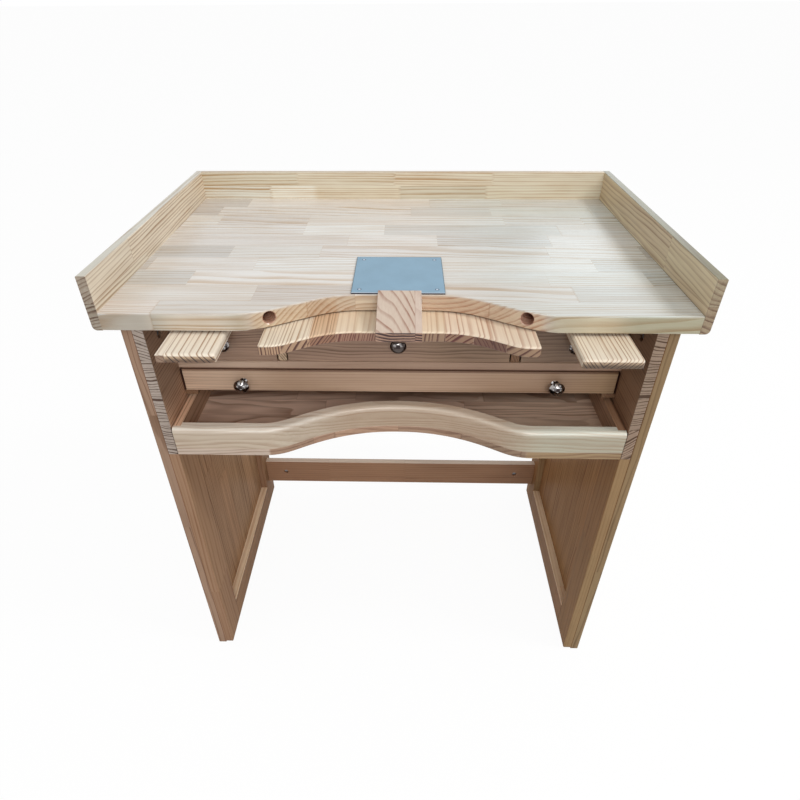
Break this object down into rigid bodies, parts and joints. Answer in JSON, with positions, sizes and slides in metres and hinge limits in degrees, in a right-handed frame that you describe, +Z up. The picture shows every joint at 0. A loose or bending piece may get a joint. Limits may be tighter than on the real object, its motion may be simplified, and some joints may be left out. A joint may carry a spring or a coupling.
{
  "type": "jewelers bench",
  "caption": "Laminated pine jeweller's bench with a bayed worktop in a low gallery, steel plate, bench pin, sliding elbow board and armrests, drawers and a catch tray.",
  "frame": {"origin": "on the floor under the middle of the bench's outline, with its sliding boards as they rest", "axes": "+X to the sitter's right, +Y away from the sitter, +Z up"},
  "size_m": [0.95, 0.67, 0.98],
  "materials": {
    "pale_pine": "clear satin lacquer on finger-jointed pine",
    "pine": "clear satin lacquer on laminated pine",
    "striped_pine": "clear satin lacquer on strongly figured pine",
    "plywood": "thin board, satin",
    "dowel_wood": "plain",
    "ground_steel": "dull ground steel",
    "chrome": "polished",
    "zinc_steel": "zinc plated"
  },
  "bodies": {
    "bench": {"carcass_back": "plywood", "carcass_bolts": "zinc_steel", "carcass_side_left": "pine", "carcass_side_right": "pine", "divider_left": "pine", "divider_right": "pine", "gallery_back": "pale_pine", "gallery_left": "pale_pine", "gallery_right": "pale_pine", "gallery_screws": "zinc_steel", "guide_strips": "pine", "leg_foot_batten_left": "pine", "leg_foot_batten_right": "pine", "leg_front_batten_left": "pine", "leg_front_batten_right": "pine", "leg_panel_left": "pine", "leg_panel_right": "pine", "leg_rear_batten_left": "pine", "leg_rear_batten_right": "pine", "lower_drawer_runners": "pine", "middle_shelf": "pine", "plate_screws": "zinc_steel", "rear_stretcher": "pine", "slide_stop_pins": "dowel_wood", "steel_plate": "ground_steel", "stretcher_barrel_nuts": "zinc_steel", "stretcher_bolts": "zinc_steel", "top_panel": "pine", "tray_runners": "pine", "worktop": "pale_pine", "worktop_screws": "zinc_steel"},
    "armrest_left": {"armrest_left": "striped_pine"},
    "armrest_right": {"armrest_right": "striped_pine"},
    "elbow_board": {"elbow_board": "striped_pine"},
    "bench_pin": {"bench_pin": "striped_pine"},
    "drawer_left": {"drawer_left_back": "pine", "drawer_left_bottom": "plywood", "drawer_left_front": "pine", "drawer_left_knob": "chrome", "drawer_left_sides": "pine"},
    "drawer_centre": {"drawer_centre_back": "pine", "drawer_centre_bottom": "plywood", "drawer_centre_front": "pine", "drawer_centre_knob": "chrome", "drawer_centre_sides": "pine"},
    "drawer_right": {"drawer_right_back": "pine", "drawer_right_bottom": "plywood", "drawer_right_front": "pine", "drawer_right_knob": "chrome", "drawer_right_sides": "pine"},
    "lower_drawer": {"lower_drawer_back": "pine", "lower_drawer_bottom": "plywood", "lower_drawer_front": "pine", "lower_drawer_knobs": "chrome", "lower_drawer_sides": "pine"},
    "catch_tray": {"catch_tray_back": "pine", "catch_tray_bottom": "pine", "catch_tray_front": "pine", "catch_tray_sides": "pine"}
  },
  "joints": [
    {"name": "armrest_left_slide", "type": "slide", "parent": "bench", "child": "armrest_left", "axis": [0, -1, 0], "range_m": [-0.065, 0.15]},
    {"name": "armrest_right_slide", "type": "slide", "parent": "bench", "child": "armrest_right", "axis": [0, -1, 0], "range_m": [-0.065, 0.15]},
    {"name": "elbow_board_slide", "type": "slide", "parent": "bench", "child": "elbow_board", "axis": [0, -1, 0], "range_m": [-0.065, 0.12]},
    {"name": "bench_pin_slide", "type": "slide", "parent": "bench", "child": "bench_pin", "axis": [0, -1, 0], "range_m": [0, 0.04]},
    {"name": "drawer_left_slide", "type": "slide", "parent": "bench", "child": "drawer_left", "axis": [0, -1, 0], "range_m": [0, 0.3]},
    {"name": "drawer_centre_slide", "type": "slide", "parent": "bench", "child": "drawer_centre", "axis": [0, -1, 0], "range_m": [0, 0.3]},
    {"name": "drawer_right_slide", "type": "slide", "parent": "bench", "child": "drawer_right", "axis": [0, -1, 0], "range_m": [0, 0.3]},
    {"name": "lower_drawer_slide", "type": "slide", "parent": "bench", "child": "lower_drawer", "axis": [0, -1, 0], "range_m": [0, 0.3]},
    {"name": "catch_tray_slide", "type": "slide", "parent": "bench", "child": "catch_tray", "axis": [0, -1, 0], "range_m": [0, 0.32]}
  ]
}
